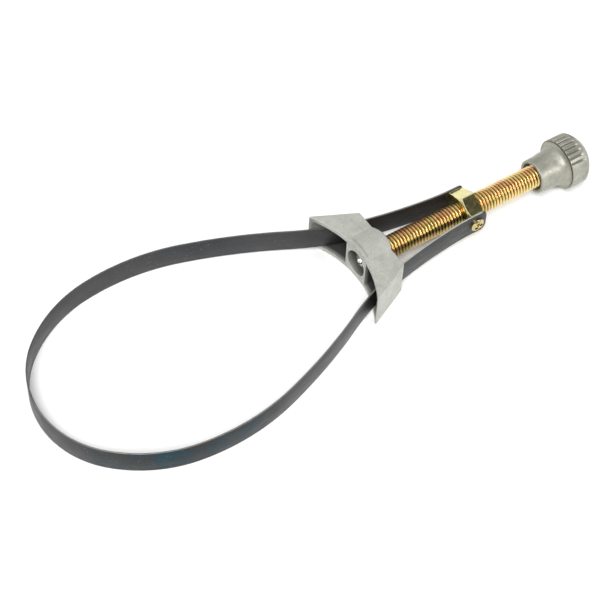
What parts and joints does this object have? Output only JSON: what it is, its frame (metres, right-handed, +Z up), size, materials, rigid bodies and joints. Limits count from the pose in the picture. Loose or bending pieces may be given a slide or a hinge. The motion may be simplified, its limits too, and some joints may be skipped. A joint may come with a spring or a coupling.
{
  "type": "oil filter wrench",
  "caption": "Steel band loop that closes round an oil filter when its threaded spindle is turned by a fluted knob against a cast saddle.",
  "frame": {"origin": "middle of the saddle's concave face, on the spindle's axis, where the filter seats", "axes": "+X along the spindle to the knob; +Z up, along the band's width; +Y across the loop"},
  "size_m": [0.211, 0.0742, 0.0182],
  "materials": {
    "saddle_casting": "matt grey die casting",
    "knob_casting": "satin grey die casting",
    "spindle_zinc": "yellow zinc plated steel thread",
    "nut_zinc": "yellow zinc plated steel",
    "screw_zinc": "yellow zinc plated steel",
    "band_steel": "dark blued spring steel, satin",
    "bright_steel": "bright plated steel"
  },
  "bodies": {
    "saddle": {"saddle_block": "saddle_casting"},
    "spindle": {"threaded_spindle": "spindle_zinc", "knob": "knob_casting", "retaining_screw": "bright_steel", "retaining_washer": "bright_steel", "thrust_washer": "bright_steel"},
    "nut_carriage": {"hex_nut": "nut_zinc", "steel_band": "band_steel", "band_screw_near": "screw_zinc", "band_screw_far": "screw_zinc"}
  },
  "joints": [
    {"name": "spindle_turn", "type": "hinge", "parent": "saddle", "child": "spindle", "pos_m": [0, 0, 0], "axis": [-1, 0, 0], "range_deg": [-5760, 6912]},
    {"name": "nut_travel", "type": "slide", "parent": "saddle", "child": "nut_carriage", "axis": [1, 0, 0], "range_m": [-0.0201, 0.0241], "deforming": ["steel_band"]}
  ],
  "couplings": [
    {"joint": "nut_travel", "follows": "spindle_turn", "m_per_rad": 0.00019894}
  ]
}
